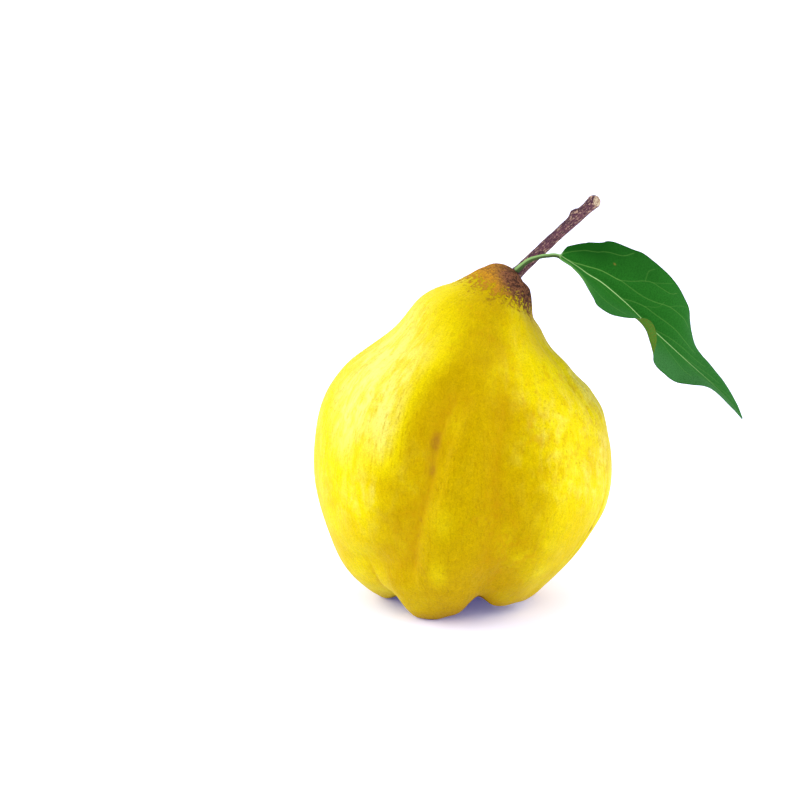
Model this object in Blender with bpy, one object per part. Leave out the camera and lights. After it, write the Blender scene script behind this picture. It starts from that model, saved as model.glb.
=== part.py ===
"""A quince as picked: the fruit, its woody stem and one leaf, and the dried calyx in the basin below.

Metres, +Z up. The fruit stands on z = 0 on its base lobes with its front towards -Y, and its neck,
stem and leaf lean to +X. Longitudes are counted round the fruit from the front, positive towards +X,
and latitudes from its middle height, negative towards the calyx basin. The origin ends up under the
middle of the whole part's bounding box.
"""

import math
from collections import namedtuple

import bmesh
import bpy
from mathutils import Matrix, Vector

MM = 0.001
UP = Vector((0.0, 0.0, 1.0))
GAP = 0.3 * MM  # left between pieces that touch
SEAM = 0.01 * MM  # points closer than this are one

# Driving dimensions of the fruit
FRUIT_HALF_WIDTH = 44.0 * MM
FRUIT_LENGTH = 105.0 * MM  # along its axis, before the neck leans over
FRUIT_SIDES = 64
RINGS_PER_SPAN = 2
MIDDLE = 0.43  # the height latitudes are counted from, as a share of the length
FOOT_FLAT = 0.5 * MM  # how far the lowest lobes are flattened where they rest

# The half section of the lobes, from the basin's floor round to the neck's blunt end:
# shares of the half width and of the length.
HALF_SECTION = (
    (0.000, 0.145),
    (0.060, 0.145),
    (0.115, 0.142),
    (0.200, 0.110),
    (0.300, 0.056),
    (0.400, 0.016),
    (0.505, 0.004),
    (0.600, 0.028),
    (0.690, 0.072),
    (0.790, 0.130),
    (0.880, 0.198),
    (0.950, 0.275),
    (0.990, 0.350),
    (1.000, 0.430),
    (0.985, 0.510),
    (0.940, 0.580),
    (0.840, 0.660),
    (0.690, 0.740),
    (0.520, 0.815),
    (0.390, 0.880),
    (0.270, 0.930),
    (0.190, 0.967),
    (0.150, 0.986),
    (0.080, 0.997),
    (0.000, 1.000),
)

# The neck leans along an arc that starts at this share of the length
NECK_START = 0.48
NECK_ANGLE = math.radians(36)
NECK_HEADING = math.radians(17)  # from +X towards the back

Furrow = namedtuple("Furrow", "foot_lon head_lon foot_lat head_lat depth west east")
Swell = namedtuple("Swell", "lon lat height lon_reach lat_reach")
FURROW_FADE = 14.0  # degrees of latitude over which a furrow runs out
BASIN_FADE = (-86.0, -76.0)  # latitudes between which the relief dies away in the basin

# Depths and heights in millimetres, the rest in degrees
FURROWS = (
    Furrow(-24, -4, -30, 32, 2.6, 20, 6),  # the crease down the front
    Furrow(13, 14, -90, 60, 2.0, 13, 14),  # the valley to its right
    Furrow(-52, -50, -90, -60, 2.8, 20, 8),  # left of the front foot
    Furrow(-52, -44, -90, -36, 2.0, 22, 9),
    Furrow(13, 13, -90, -62, 2.8, 14, 9),  # right of the front foot
    Furrow(13, 17, -90, -42, 1.5, 14, 9),
    Furrow(74, 84, -90, -30, 4.0, 10, 10),
    Furrow(140, 132, -90, 34, 4.0, 13, 13),
    Furrow(-146, -128, -90, 26, 4.0, 13, 13),
)
SWELLS = (
    Swell(88, 35, 4.2, 55, 17),  # the full right shoulder
    Swell(66, 56, 2.5, 38, 8.5),  # which runs on up to the neck
    Swell(90, 69, -0.5, 50, 7),  # the hollow between it and the neck
    Swell(80, 44, 1.3, 26, 5.5),
    Swell(62, 76, -1.3, 50, 3.2),  # the waist under the neck's end
    Swell(45, 82.5, 0.8, 50, 2.6),  # the knob over the waist
    Swell(82, -10, 2.0, 45, 22),  # the full right side
    Swell(-85, 48, -4.4, 55, 18),  # the flatter left shoulder
    Swell(-70, 62, 2.0, 45, 6),  # a bump beside the neck
    Swell(-78, 74.5, -1.3, 50, 5),  # the dip above the bump
    Swell(-85, -43, 1.1, 30, 12),  # the full lower left
    Swell(-68, -64, -1.5, 18, 9),  # the left foot's front edge
    Swell(-9, -62, -1.1, 9, 12),  # the front foot rises to its right
    Swell(27, -60, -0.8, 9, 10),  # the edge right of the notch
    Swell(45, -62, -3.4, 32, 26),  # the right foot hangs clear of the floor
)

# Driving dimensions of the stem, a twig that leans a little more than the neck does
STEM_LENGTH = 33.6 * MM
STEM_DEPTH = 4.0 * MM  # in the neck's end
STEM_RADIUS = 1.78 * MM
STEM_SIDES = 16
STEM_BOW = 0.2 * MM  # how far the twig arches up in the middle
STEM_LEAN = math.radians(50)
STEM_OFFSET = 1.4 * MM  # of its foot from the middle of the neck's end, to the low side

# Along the stem from the fruit: share of its length, share of its radius
STEM_GIRTHS = (
    (0.00, 1.10),
    (0.08, 1.00),
    (0.20, 0.96),
    (0.50, 0.94),
    (0.66, 0.98),
    (0.71, 1.01),
    (0.755, 1.03),
    (0.80, 1.02),
    (0.86, 0.98),
    (0.90, 1.08),
    (0.94, 1.18),
    (0.97, 1.08),
    (0.99, 0.82),
    (1.00, 0.50),
)
BUD_SCAR = 0.755  # where an old bud has left a bump on the stem's upper side
BUD_SCAR_HEIGHT = 0.85 * MM
BUD_SCAR_REACH = 0.04

# Driving dimensions of the leaf
LEAF_HALF_WIDTH = 18.6 * MM
LEAF_THICKNESS = 0.5 * MM
RIB_DEPTH = 0.6 * MM
STALK_RADIUS = 0.65 * MM
LEAF_CAMBER = 0.05  # how far the far half bulges, as a share of its width
STALK_STEPS = 3
MIDRIB_STEPS = 3

# The line of the leaf's stalk and midrib, in millimetres from the stem's foot
STALK_LINE = (
    (-0.3, -2.6, 1.5),
    (2.9, -3.1, 4.0),
    (5.8, -3.4, 5.2),
    (8.8, -3.8, 5.8),
    (11.2, -4.0, 5.8),
)
MIDRIB_LINE = (
    (12.1, -4.1, 5.7),
    (16.9, -4.6, 2.8),
    (20.6, -4.8, 0.2),
    (24.4, -4.9, -2.1),
    (28.1, -5.2, -5.0),
    (31.9, -5.4, -8.3),
    (35.7, -5.7, -12.0),
    (39.4, -5.9, -15.6),
    (45.1, -6.3, -20.8),
    (49.7, -6.6, -24.9),
    (53.5, -6.9, -28.3),
    (57.6, -7.1, -31.9),
    (63.8, -7.5, -38.0),
    (67.6, -7.7, -43.1),
)

LeafRow = namedtuple("LeafRow", "along width far near")
# Share of the blade's length, share of its half width, and the degrees by which
# its far half climbs and its near half dips
LEAF_ROWS = (
    LeafRow(0.000, 0.05, 60, 12),
    LeafRow(0.012, 0.26, 52, 4),
    LeafRow(0.030, 0.38, 50, 1),
    LeafRow(0.060, 0.52, 48, 0),
    LeafRow(0.120, 0.72, 47, 4.5),
    LeafRow(0.170, 0.85, 46.5, 11),
    LeafRow(0.220, 0.945, 47.5, 13.5),
    LeafRow(0.270, 1.02, 49, 11),
    LeafRow(0.320, 1.03, 49, 6),
    LeafRow(0.420, 1.02, 50, 5),
    LeafRow(0.520, 0.96, 46, 16),
    LeafRow(0.560, 0.92, 42, 20.5),
    LeafRow(0.600, 0.85, 34, 24),
    LeafRow(0.640, 0.76, 27, 28),
    LeafRow(0.680, 0.66, 22, 28),
    LeafRow(0.760, 0.46, 25.5, 11),
    LeafRow(0.840, 0.32, 29, 5.5),
    LeafRow(0.920, 0.17, 31, 12),
    LeafRow(1.000, 0.01, 32, 12),
)
CURL_PLACE = 0.462  # where along the blade its near margin curls up
CURL_REACH = 0.074
CURL_START = 0.75  # share of the near half's width
CURL_ANGLE = math.radians(38)
LEAF_ACROSS = (1.0, 0.7, 0.35, 0.0, -0.4, -0.75, -1.0)  # from the far margin to the near one

# Driving dimensions of the calyx, dried up in the basin
SEPAL_COUNT = 5
SEPAL_HALF_WIDTH = 1.6 * MM
SEPAL_THICKNESS = 0.5 * MM
SEPAL_CUP = 0.4 * MM  # how far its edges curl in
SEPAL_RING = 3.0 * MM
SEPAL_ACROSS = (1.0, 0.5, 0.0, -0.5, -1.0)

# Along a sepal from its root: millimetres outwards, millimetres down, share of the half width
SEPAL_LINE = (
    (0.0, 0.6, 0.75),
    (0.1, 1.8, 0.95),
    (0.4, 3.1, 1.00),
    (1.1, 4.3, 0.85),
    (2.1, 5.0, 0.60),
    (3.1, 4.8, 0.30),
    (3.6, 4.2, 0.06),
)
TUFT_HALF_WIDTH = 1.5 * MM
TUFT_CELLS = 5  # a side, with a filament on every other one
TUFT_FOOT = 0.8 * MM
FILAMENT_LENGTH = 3.4 * MM
FILAMENT_INSET = 0.1 * MM
FILAMENT_TAPER = 0.7
FILAMENT_SPLAY = 1.35  # how much wider the tuft is at its tips


def blend(low, high, value):
    """0 below low, 1 above high and a smooth rise between them."""
    share = min(max((value - low) / (high - low), 0.0), 1.0)
    return share * share * (3.0 - 2.0 * share)


def turn_between(a, b):
    """The signed turn from longitude b to longitude a, in degrees."""
    return (a - b + 180.0) % 360.0 - 180.0


def smooth_line(points, per_span):
    """Points along a Catmull-Rom curve through the given ones."""
    ends = [points[0] * 2 - points[1], *points, points[-1] * 2 - points[-2]]
    line = []
    for before, start, end, after in zip(ends, ends[1:], ends[2:], ends[3:]):
        for step in range(per_span):
            t = step / per_span
            bend = (2 * before - 5 * start + 4 * end - after) * t**2
            twist = (3 * start - before - 3 * end + after) * t**3
            line.append(0.5 * (2 * start + (end - before) * t + bend + twist))
    line.append(points[-1])
    return line


def relief(lon, lat):
    """How far the skin stands out from the plain turned shape, in metres."""
    height = 0.0
    for f in FURROWS:
        along = (lat - f.foot_lat) / (f.head_lat - f.foot_lat)
        off = turn_between(lon, f.foot_lon + (f.head_lon - f.foot_lon) * along)
        width = f.west if off < 0 else f.east
        opens = blend(f.foot_lat - FURROW_FADE, f.foot_lat, lat)
        closes = blend(f.head_lat, f.head_lat + FURROW_FADE, lat)
        height -= f.depth * opens * (1.0 - closes) * math.exp(-((off / width) ** 2))
    for s in SWELLS:
        off = turn_between(lon, s.lon) / s.lon_reach
        rise = (lat - s.lat) / s.lat_reach
        height += s.height * math.exp(-(off**2) - rise**2)
    return height * MM * blend(*BASIN_FADE, lat)


def lean(point):
    """The straight fruit's point after the neck has leant over."""
    start = NECK_START * FRUIT_LENGTH
    if point.z <= start:
        return point.copy()
    radius = (FRUIT_LENGTH - start) / NECK_ANGLE
    angle = (point.z - start) / radius
    heading = Vector((math.cos(NECK_HEADING), math.sin(NECK_HEADING), 0.0))
    spine = heading * radius * (1 - math.cos(angle)) + UP * (start + radius * math.sin(angle))
    hinge = Matrix.Rotation(angle, 3, UP.cross(heading))
    return spine + hinge @ Vector((point.x, point.y, 0.0))


def material(name, colour, roughness):
    made = bpy.data.materials.new(name)
    made.use_nodes = True
    shader = made.node_tree.nodes["Principled BSDF"]
    shader.inputs["Base Color"].default_value = (*colour, 1.0)
    shader.inputs["Roughness"].default_value = roughness
    return made


def add_object(name, bm, made_of):
    bmesh.ops.recalc_face_normals(bm, faces=bm.faces)
    mesh = bpy.data.meshes.new(name)
    bm.to_mesh(mesh)
    bm.free()
    mesh.materials.append(made_of)
    mesh.shade_smooth()
    placed = bpy.data.objects.new(name, mesh)
    bpy.context.scene.collection.objects.link(placed)
    return placed


def loft(rings):
    """A closed body through rings of the same number of points, capped at both ends."""
    bm = bmesh.new()
    rows = [[bm.verts.new(p) for p in ring] for ring in rings]
    for row, above in zip(rows, rows[1:]):
        for i in range(len(row)):
            bm.faces.new((row[i - 1], row[i], above[i], above[i - 1]))
    bm.faces.new(rows[0])
    bm.faces.new(rows[-1])
    return bm


def directions(line):
    """The unit direction of a line at each of its points."""
    ahead = line[1:] + line[-1:]
    behind = line[:1] + line[:-1]
    return [(a - b).normalized() for a, b in zip(ahead, behind)]


def turned_fruit():
    """The plain half section spun round the fruit's axis."""
    section = [Vector((r * FRUIT_HALF_WIDTH, 0.0, h * FRUIT_LENGTH)) for r, h in HALF_SECTION]
    bm = bmesh.new()
    line = [bm.verts.new(p) for p in smooth_line(section, RINGS_PER_SPAN)]
    edges = [bm.edges.new(pair) for pair in zip(line, line[1:])]
    bmesh.ops.spin(
        bm,
        geom=line + edges,
        axis=UP,
        cent=(0, 0, 0),
        steps=FRUIT_SIDES,
        angle=math.tau,
        use_merge=True,
    )
    bmesh.ops.remove_doubles(bm, verts=bm.verts, dist=SEAM)
    bmesh.ops.recalc_face_normals(bm, faces=bm.faces)
    bm.normal_update()
    return bm


def make_fruit(skin):
    """The fruit, and the height of the floor in the turned shape's own measure."""
    bm = turned_fruit()
    middle = MIDDLE * FRUIT_LENGTH
    places = []
    for v in bm.verts:
        lon = math.degrees(math.atan2(v.co.x, -v.co.y))
        lat = math.degrees(math.atan2(v.co.z - middle, v.co.xy.length))
        places.append(lean(v.co + v.normal * relief(lon, lat)))
    for v, place in zip(bm.verts, places):
        v.co = place
    ground = min(v.co.z for v in bm.verts) + FOOT_FLAT
    for v in bm.verts:
        v.co.z = max(v.co.z - ground, 0.0)
    return add_object("fruit", bm, skin), ground


def stem_foot(ground):
    """Where the stem leaves the neck's blunt end, a little to its low side."""
    top = lean(UP * FRUIT_LENGTH) - UP * ground
    low_side = Vector((math.cos(NECK_ANGLE), 0.0, -math.sin(NECK_ANGLE)))
    low_side.rotate(Matrix.Rotation(NECK_HEADING, 3, UP))
    return top + low_side * STEM_OFFSET


def stem_line(foot):
    """The twig's line from inside the neck's end to its tip, and its direction."""
    heading = Vector((math.cos(NECK_HEADING), math.sin(NECK_HEADING), 0.0))
    along = UP * math.cos(STEM_LEAN) + heading * math.sin(STEM_LEAN)
    arch = UP * math.sin(STEM_LEAN) - heading * math.cos(STEM_LEAN)
    line = [foot - along * STEM_DEPTH]
    for share, girth in STEM_GIRTHS:
        bow = arch * STEM_BOW * math.sin(math.pi * share)
        line.append(foot + along * STEM_LENGTH * share + bow)
    return line, along


def make_stem(foot, bark):
    line, along = stem_line(foot)
    stations = [STEM_GIRTHS[0], *STEM_GIRTHS]
    upper = (UP - along * UP.dot(along)).normalized()
    rings = []
    for centre, (share, girth) in zip(line, stations):
        scar = BUD_SCAR_HEIGHT * math.exp(-(((share - BUD_SCAR) / BUD_SCAR_REACH) ** 2))
        ring = []
        for i in range(STEM_SIDES):
            out = Matrix.Rotation(math.tau * i / STEM_SIDES, 3, along) @ upper
            raised = scar * max(out.dot(upper), 0.0) ** 2
            ring.append(centre + out * (STEM_RADIUS * girth + raised))
        rings.append(ring)
    return add_object("stem", loft(rings), bark)


def cut_socket(fruit, foot, cutter_material):
    """The neck's end closes round the foot of the stem."""
    line, along = stem_line(foot)
    radius = (STEM_RADIUS * STEM_GIRTHS[0][1] + GAP) / math.cos(math.pi / STEM_SIDES)
    bm = bmesh.new()
    bmesh.ops.create_cone(
        bm,
        cap_ends=True,
        segments=STEM_SIDES,
        radius1=radius,
        radius2=radius,
        depth=4 * STEM_DEPTH,
    )
    turn = UP.rotation_difference(along).to_matrix().to_4x4()
    bottom = line[0] - along * GAP
    bmesh.ops.transform(
        bm,
        matrix=Matrix.Translation(bottom + along * 2 * STEM_DEPTH) @ turn,
        verts=bm.verts,
    )
    cutter = add_object("socket_cutter", bm, cutter_material)
    cutter.hide_render = True
    cutter.display_type = "WIRE"
    cut = fruit.modifiers.new("stem socket", "BOOLEAN")
    cut.operation = "DIFFERENCE"
    cut.solver = "EXACT"
    cut.object = cutter


def leaf_row(share):
    """The blade's width and fold angles at a share of its length."""
    for row, after in zip(LEAF_ROWS, LEAF_ROWS[1:]):
        if share <= after.along:
            t = (share - row.along) / (after.along - row.along)
            return LeafRow(*(a + (b - a) * t for a, b in zip(row, after)))
    return LEAF_ROWS[-1]


def leaf_frame(direction):
    """The directions across the leaf: level towards the back, and up off its back."""
    rise = direction.cross(Vector((0.0, 1.0, 0.0))).normalized()
    rise = rise if rise.z > 0 else -rise
    back = rise.cross(direction).normalized()
    back = back if back.y > 0 else -back
    return back, rise


def stalk_ring(centre, direction):
    """Points round the stalk: over the top from the far side and back underneath."""
    back, rise = leaf_frame(direction)
    count = 2 * len(LEAF_ACROSS)
    turns = [math.tau * (i + 0.5) / count for i in range(count)]
    return [centre + (back * math.cos(a) + rise * math.sin(a)) * STALK_RADIUS for a in turns]


def blade_ring(centre, direction, row):
    """Points round the blade: over the top from the far margin and back underneath."""
    back, rise = leaf_frame(direction)
    far = math.radians(row.far)
    near = math.radians(row.near)
    width = LEAF_HALF_WIDTH * row.width
    curled = math.exp(-(((row.along - CURL_PLACE) / CURL_REACH) ** 4))
    turned = rise * math.sin(CURL_ANGLE) - back * math.cos(CURL_ANGLE)
    top = []
    for u in LEAF_ACROSS:
        out = back * math.cos(far) + rise * math.sin(far)
        arch = rise * LEAF_CAMBER * width * 4 * u * (1 - u)
        if u < 0:
            out = back * math.cos(near) + rise * math.sin(near)
            arch = Vector()
        if u < -CURL_START:
            arch = (turned + out) * width * (-u - CURL_START) * curled
        top.append(centre + out * width * u + arch)
    under = []
    for u, place in zip(LEAF_ACROSS, top):
        rib = RIB_DEPTH * (1 - row.along) if u == 0 else 0.0
        under.append(place - rise * (LEAF_THICKNESS + rib))
    return top + under[::-1]


def make_leaf(foot, green):
    """One leaf: its stalk runs on as the midrib under a blade folded along it."""
    stalk = smooth_line([foot + Vector(p) * MM for p in STALK_LINE], STALK_STEPS)
    rib = smooth_line([foot + Vector(p) * MM for p in MIDRIB_LINE], MIDRIB_STEPS)
    rings = []
    for centre, direction in zip(stalk, directions(stalk)):
        rings.append(stalk_ring(centre, direction))
    lengths = [0.0]
    for a, b in zip(rib, rib[1:]):
        lengths.append(lengths[-1] + (b - a).length)
    for centre, direction, length in zip(rib, directions(rib), lengths):
        rings.append(blade_ring(centre, direction, leaf_row(length / lengths[-1])))
    return add_object("leaf", loft(rings), green)


def make_sepal(number, cup_floor, dry):
    """A dried sepal that hangs from the basin's floor and curls outwards."""
    turn = Matrix.Rotation(math.tau * number / SEPAL_COUNT, 3, UP)
    line = []
    for out, down, share in SEPAL_LINE:
        line.append(Vector((0.0, -SEPAL_RING - out * MM, cup_floor - down * MM)))
    rings = []
    for centre, direction, (out, down, share) in zip(line, directions(line), SEPAL_LINE):
        across = Vector((1.0, 0.0, 0.0))
        face = direction.cross(across)
        outer = []
        for u in SEPAL_ACROSS:
            curl = face * SEPAL_CUP * share * u * u
            outer.append(centre + across * SEPAL_HALF_WIDTH * share * u + curl)
        inner = [p + face * SEPAL_THICKNESS for p in outer]
        rings.append([turn @ p for p in outer + inner[::-1]])
    return add_object(f"sepal_{number + 1}", loft(rings), dry)


def make_tuft(cup_floor, dry):
    """The dried stamens and styles, joined at their foot."""
    bm = bmesh.new()
    bmesh.ops.create_grid(
        bm,
        x_segments=TUFT_CELLS,
        y_segments=TUFT_CELLS,
        size=TUFT_HALF_WIDTH,
    )
    bmesh.ops.translate(bm, verts=bm.verts, vec=(0, 0, cup_floor - GAP))
    slab = bmesh.ops.extrude_face_region(bm, geom=bm.faces[:], use_keep_orig=True)
    lower = [v for v in slab["geom"] if isinstance(v, bmesh.types.BMVert)]
    bmesh.ops.translate(bm, verts=lower, vec=(0, 0, -TUFT_FOOT))
    below = [f for f in slab["geom"] if isinstance(f, bmesh.types.BMFace)]
    bmesh.ops.recalc_face_normals(bm, faces=bm.faces)
    chosen = []
    for face in below:
        centre = face.calc_center_median()
        column = round(centre.x / TUFT_HALF_WIDTH * TUFT_CELLS / 2)
        row = round(centre.y / TUFT_HALF_WIDTH * TUFT_CELLS / 2)
        if (column + row) % 2 == 0:
            chosen.append(face)
    bmesh.ops.inset_individual(bm, faces=chosen, thickness=FILAMENT_INSET)
    tips = bmesh.ops.extrude_discrete_faces(bm, faces=chosen)["faces"]
    for tip in tips:
        centre = tip.calc_center_median()
        splayed = Vector((centre.x, centre.y, 0.0)) * (FILAMENT_SPLAY - 1)
        for v in tip.verts:
            v.co = centre + (v.co - centre) * FILAMENT_TAPER + splayed - UP * FILAMENT_LENGTH
    return add_object("stamen_tuft", bm, dry)


def centre_on_origin():
    """The origin goes under the middle of the whole part's box, on the floor."""
    solid = [o for o in bpy.data.objects if not o.hide_render]
    corners = [Vector(c) for o in solid for c in o.bound_box]
    low = Vector([min(c[i] for c in corners) for i in range(3)])
    high = Vector([max(c[i] for c in corners) for i in range(3)])
    shift = Vector((-(low.x + high.x) / 2, -(low.y + high.y) / 2, 0.0))
    for thing in bpy.data.objects:
        thing.data.transform(Matrix.Translation(shift))


def main():
    for old in list(bpy.data.objects):
        bpy.data.objects.remove(old)
    skin = material("skin", (0.83, 0.65, 0.01), 0.45)
    bark = material("bark", (0.10, 0.05, 0.05), 0.8)
    green = material("leaf", (0.02, 0.14, 0.02), 0.5)
    dry = material("dry_calyx", (0.06, 0.03, 0.01), 0.85)

    fruit, ground = make_fruit(skin)
    foot = stem_foot(ground)
    make_stem(foot, bark)
    cut_socket(fruit, foot, skin)
    make_leaf(foot, green)

    cup_floor = HALF_SECTION[0][1] * FRUIT_LENGTH - ground
    for number in range(SEPAL_COUNT):
        make_sepal(number, cup_floor, dry)
    make_tuft(cup_floor, dry)
    centre_on_origin()


main()
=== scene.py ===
"""A picked quince with its twig, its one leaf and its dried calyx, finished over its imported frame.

Metres, +Z up, in the frame's own place. The fruit stands on z = 0 with its front towards -Y, and
its neck, twig and leaf lean to +X. Longitudes go round the fruit from the front, positive towards
+X, and latitudes go up from its middle height, both in degrees.
"""

import random
from collections import namedtuple
from math import atan2, copysign, cos, degrees, exp, pi, radians, sin, sqrt, tau

import bmesh
import bpy
from mathutils import Matrix, Vector, noise


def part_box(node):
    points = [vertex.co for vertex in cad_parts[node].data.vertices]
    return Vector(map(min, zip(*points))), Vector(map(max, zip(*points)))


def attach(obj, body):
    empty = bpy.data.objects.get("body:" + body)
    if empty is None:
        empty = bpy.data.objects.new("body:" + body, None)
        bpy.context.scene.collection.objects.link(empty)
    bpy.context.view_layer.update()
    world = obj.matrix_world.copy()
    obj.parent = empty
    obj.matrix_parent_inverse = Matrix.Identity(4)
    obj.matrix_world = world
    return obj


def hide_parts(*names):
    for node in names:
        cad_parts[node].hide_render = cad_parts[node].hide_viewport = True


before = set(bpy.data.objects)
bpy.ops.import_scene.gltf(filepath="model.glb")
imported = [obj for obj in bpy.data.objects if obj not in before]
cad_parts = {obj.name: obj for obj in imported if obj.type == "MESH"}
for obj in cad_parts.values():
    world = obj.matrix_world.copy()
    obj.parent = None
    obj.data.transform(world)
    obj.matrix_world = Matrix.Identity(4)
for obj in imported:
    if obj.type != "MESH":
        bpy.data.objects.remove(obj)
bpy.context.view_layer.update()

# ---- The fruit ----
# One grown body of firm flesh in a thin waxy skin: blunt lobes below, drawn in round the calyx, and
# a neck above that leans over and closes round the twig. It is turned from its half section, then
# furrowed, swollen, leant over and set down as it grew.

MM = 0.001
UP = Vector((0.0, 0.0, 1.0))
SEAM = 0.005 * MM
GAP = 0.3 * MM  # between pieces of the frame that touch

FRUIT_HALF_WIDTH = 44.0 * MM
FRUIT_LENGTH = 105.0 * MM
FRUIT_SIDES = 400
RINGS_PER_SPAN = 9
MIDDLE = 0.43 * FRUIT_LENGTH  # the height latitudes are counted from
BASIN_FLOOR = 0.145  # share of the length

# The half section from the basin's floor round to the neck's blunt end, and then down into the
# twig's socket: shares of the half width and of the length
HALF_SECTION = (
    (0, BASIN_FLOOR), (0.06, 0.145), (0.115, 0.142), (0.2, 0.11), (0.3, 0.056), (0.4, 0.016),
    (0.505, 0.004), (0.6, 0.028), (0.69, 0.072), (0.79, 0.13), (0.88, 0.198), (0.95, 0.275),
    (0.99, 0.35), (1, 0.43), (0.985, 0.51), (0.94, 0.58), (0.84, 0.66), (0.69, 0.74),
    (0.52, 0.815), (0.39, 0.88), (0.27, 0.93), (0.19, 0.964), (0.15, 0.981), (0.08, 0.993),
)
SOCKET_SECTION = (
    (0.065, 0.9955), (0.055, 0.994), (0.0525, 0.987), (0.052, 0.96), (0.049, 0.958), (0, 0.958),
)

NECK_START = 0.48 * FRUIT_LENGTH
NECK_ANGLE = radians(36)
NECK_HEADING = radians(17)  # from +X towards the back
HEADING = Vector((cos(NECK_HEADING), sin(NECK_HEADING), 0.0))
TWIG_LEAN = radians(50)
TWIG_OFFSET = 1.4 * MM
SOCKET_REACH = (2.3 * MM, 9.0 * MM)  # from the pole: where the neck's end follows the twig
SOCKET_RIM = (2.2 * MM, 4.5 * MM)  # from the pole: where the relief begins outside the socket
NECK_TOP = 0.9 * FRUIT_LENGTH

Furrow = namedtuple("Furrow", "foot_lon head_lon foot_lat head_lat depth west east")
Swell = namedtuple("Swell", "lon lat height lon_reach lat_reach")
Crease = namedtuple("Crease", "line depth west east stain")
FURROW_FADE = 14.0
BASIN_FADE = (-86.0, -76.0)  # the latitudes over which the relief fades into the basin

# Broad shapes: depths and heights in millimetres, the rest in degrees
FURROWS = [Furrow(*row) for row in (
    (-24, -4, -30, 32, 2.6, 20, 6),  # the crease down the front
    (13, 14, -90, 60, 2.0, 13, 14),  # the valley to its right
    (-52, -50, -90, -60, 2.8, 20, 8),  # left of the front foot
    (-52, -44, -90, -36, 2.0, 22, 9),
    (13, 13, -90, -62, 2.3, 14, 9),  # right of the front foot
    (13, 17, -90, -42, 1.5, 14, 9),
    (74, 84, -90, -30, 4.0, 10, 10),
    (140, 132, -90, 34, 4.0, 13, 13),
    (-146, -128, -90, 26, 4.0, 13, 13),
)]
SWELLS = [Swell(*row) for row in (
    (88, 35, 4.2, 55, 17),  # the full right shoulder
    (66, 56, 2.5, 38, 8.5),  # which runs on up to the neck
    (90, 69, -0.5, 50, 7),  # the hollow between it and the neck
    (80, 44, 1.3, 26, 5.5),
    (62, 76, -1.3, 50, 3.2),  # the waist under the neck's end
    (45, 82.5, 0.8, 50, 2.6),  # the knob over the waist
    (82, -10, 2.0, 45, 22),  # the full right side
    (-85, 48, -4.4, 55, 18),  # the flatter left shoulder
    (-70, 62, 1.75, 45, 6),  # a bump beside the neck
    (-78, 74.5, -1.3, 50, 5),  # the dip above the bump
    (-85, -43, 1.1, 30, 12),  # the full lower left
    (-68, -64, -1.5, 18, 9),  # the left foot's front edge
    (-9, -62, -1.1, 9, 12),  # the front foot rises to its right
    (27, -60, -0.8, 9, 10),  # the edge right of the notch
    (45, -62, -3.4, 32, 26),  # the right foot hangs clear of the floor
)]

# Narrow creases along lines of (longitude, latitude) from the foot up: their depth and their reach
# to each side in millimetres, and how much colour is painted along them: above nothing brown that is
# partly real and partly painted shade, below nothing a pale line painted as a highlight
FRONT_CREASE = ((-23, -40), (-19, -19), (-15, -5), (-12, 8), (-11.5, 18), (-6, 38))
CREASES = [Crease(*row) for row in (
    (FRONT_CREASE, 0.8, 4, 0.8, 0.35),
    (((-14, -14), (-9, 0), (-7, 12), (-4, 22)), 0.22, 1.6, 0.8, 0),
    (((10, -34), (13, -6), (13, 9), (17, 38)), 0.45, 2.6, 2, 0.35),
    (((16, -44), (19, -28), (23, -13), (27, 0)), 0.4, 1.8, 2.6, 0.1),
    (((13, -90), (13, -64), (12, -54)), 0.8, 2.6, 1.5, 1),
    (((-54, -90), (-51, -52), (-49, -36)), 0.6, 2.6, 1.4, 0.9),
    (((-77, -38), (-78, -18), (-76, 2)), 0.5, 3.5, 2, 0.1),
    (((-44, 12), (-40, 22), (-37, 34)), 0.28, 1.6, 1.2, 0.3),
    (((-52, 4), (-47, 14)), 0.22, 1.4, 1, 0.15),
    (((63, -44), (62.7, -30), (64.5, -21), (68.5, -13), (70.5, -6)), 0.5, 0.6, 0.8, 1.2),
    (((56, -38), (58.3, -28), (60, -20)), 0.3, 0.7, 0.7, 0.6),
    (((56, 48), (54, 56), (50, 66)), 0.5, 0.9, 0.7, 0),
    (((60, 38), (59, 50), (56, 62)), 0.8, 0.7, 0.6, 0.35),
    (((64, 27), (63, 40), (61, 56)), 1, 0.8, 0.5, 0.4),
    (((68, 30), (67.5, 44), (67, 60)), 1.1, 0.7, 0.5, 0.4),
    (((73, 28), (73, 46), (75, 60)), 1, 0.7, 0.5, 0.35),
    (((57, 40), (60, 50), (56, 60)), 0.4, 0.5, 0.5, -0.9),
    (((69, 36), (71, 47), (65, 57)), 0.4, 0.5, 0.5, -1),
    (((79, 32), (80, 46), (83, 62)), 0.6, 0.9, 0.7, 0),
    (((86, 34), (88, 46), (92, 60)), 0.7, 0.9, 0.8, 0),
    (((140, -90), (139, -40), (134, 0), (131, 30)), 0.9, 3, 1.4, 0.6),
    (((-146, -90), (-140, -40), (-133, 0), (-128, 24)), 0.8, 1.4, 3, 0.6),
    (((80, -90), (78, -60), (76, -34)), 0.9, 2, 2, 0.8),
    (((172, -90), (174, -50), (176, -10)), 0.6, 2.4, 2, 0.4),
    (((-104, -90), (-106, -60), (-103, -28)), 0.7, 2, 2.4, 0.5),
    (((108, -24), (112, 0), (110, 22)), 0.4, 3, 2, 0.1),
    (((-166, 0), (-160, 24), (-162, 44)), 0.35, 2.4, 2, 0.1),
)]
CREASE_END = 9.0  # degrees over which a crease runs out
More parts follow.
